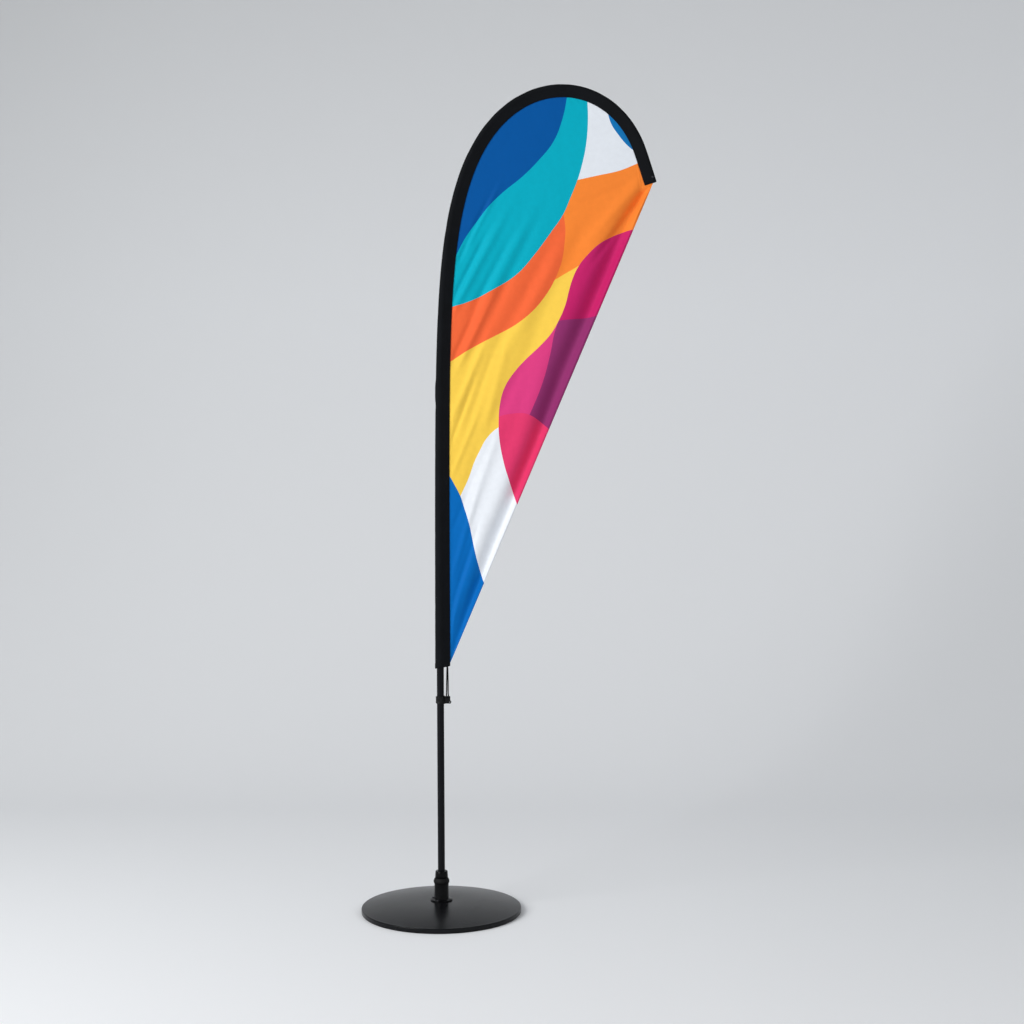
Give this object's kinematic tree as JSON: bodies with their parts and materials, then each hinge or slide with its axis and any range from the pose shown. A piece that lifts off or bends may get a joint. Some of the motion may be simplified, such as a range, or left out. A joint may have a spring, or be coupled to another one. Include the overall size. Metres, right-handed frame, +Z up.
{
  "type": "teardrop flag",
  "caption": "Teardrop shaped printed fabric flag on a bent mast, turning on a bearing socket above a round weighted floor base.",
  "frame": {"origin": "on the floor, on the vertical axis that the flag turns about", "axes": "+Z up along the mast, +X from the mast towards the panel's free edge, the flag lies in the XZ plane"},
  "size_m": [0.8325, 0.45, 2.3358],
  "materials": {
    "pad_rubber": "matt black rubber sheet",
    "seal_rubber": "smooth black rubber",
    "raw_steel": "bare steel",
    "bearing_steel": "ground steel",
    "zinc_steel": "zinc plated",
    "base_coat": "satin black powder coat",
    "hub_paint": "semi gloss black paint",
    "mast_tube": "satin black anodised",
    "glass_fibre": "black pultruded glass fibre",
    "black_nylon": "moulded black nylon",
    "sleeve_fabric": "black woven polyester",
    "printed_fabric": "dye printed knitted polyester",
    "cord_braid": "black braided elastic cord"
  },
  "bodies": {
    "base": {"rubber_pad": "pad_rubber", "ballast_plate": "raw_steel", "base_cover": "base_coat", "mounting_spacer": "raw_steel", "centre_bolt": "zinc_steel", "bearing_housing": "hub_paint", "flange_screw_1": "zinc_steel", "flange_screw_2": "zinc_steel", "flange_screw_3": "zinc_steel", "flange_screw_4": "zinc_steel", "lower_outer_race": "bearing_steel", "upper_outer_race": "bearing_steel"},
    "ball_cages": {"lower_ball_cage": "bearing_steel", "upper_ball_cage": "bearing_steel"},
    "rotor": {"rotor_hub": "hub_paint", "dust_seal": "seal_rubber", "lower_inner_race": "bearing_steel", "upper_inner_race": "bearing_steel", "bearing_spacer": "bearing_steel", "hub_circlip": "bearing_steel"},
    "mast": {"mast_tube_lower": "mast_tube", "mast_tube_middle": "mast_tube", "mast_joint_spigot": "raw_steel", "mast_ferrule": "hub_paint", "mast_rod_bush": "black_nylon", "mast_rod_upper": "glass_fibre", "tip_ferrule": "hub_paint", "mast_rod_tip": "glass_fibre", "tip_cap": "seal_rubber", "pole_sleeve": "sleeve_fabric", "sail_panel": "printed_fabric", "tip_rivet_front": "zinc_steel", "tip_rivet_back": "zinc_steel", "tack_webbing": "sleeve_fabric", "tack_eyelet": "zinc_steel", "bungee_cord": "cord_braid"},
    "collar": {"collar_band": "black_nylon", "collar_liner": "seal_rubber", "clamp_nut": "zinc_steel"},
    "clamp_screw": {"clamp_screw": "black_nylon"}
  },
  "joints": [
    {"name": "flag_spin", "type": "hinge", "parent": "base", "child": "rotor", "pos_m": [0, 0, 0.0438], "axis": [0, 0, 1], "continuous": true},
    {"name": "cage_roll", "type": "hinge", "parent": "base", "child": "ball_cages", "pos_m": [0, 0, 0.07], "axis": [0, 0, 1], "continuous": true},
    {"name": "mast_lift", "type": "slide", "parent": "rotor", "child": "mast", "axis": [-0.0058, 0, 1], "range_m": [0, 0.06]},
    {"name": "collar_slide", "type": "slide", "parent": "mast", "child": "collar", "axis": [-0.0058, 0, 1], "range_m": [0, 0.03], "deforming": ["bungee_cord"]},
    {"name": "clamp_screw_turn", "type": "hinge", "parent": "collar", "child": "clamp_screw", "pos_m": [0.0168, 0, 0.598], "axis": [0, -1, 0], "range_deg": [0, 360]}
  ],
  "couplings": [
    {"joint": "cage_roll", "follows": "flag_spin", "ratio": 0.4452}
  ]
}
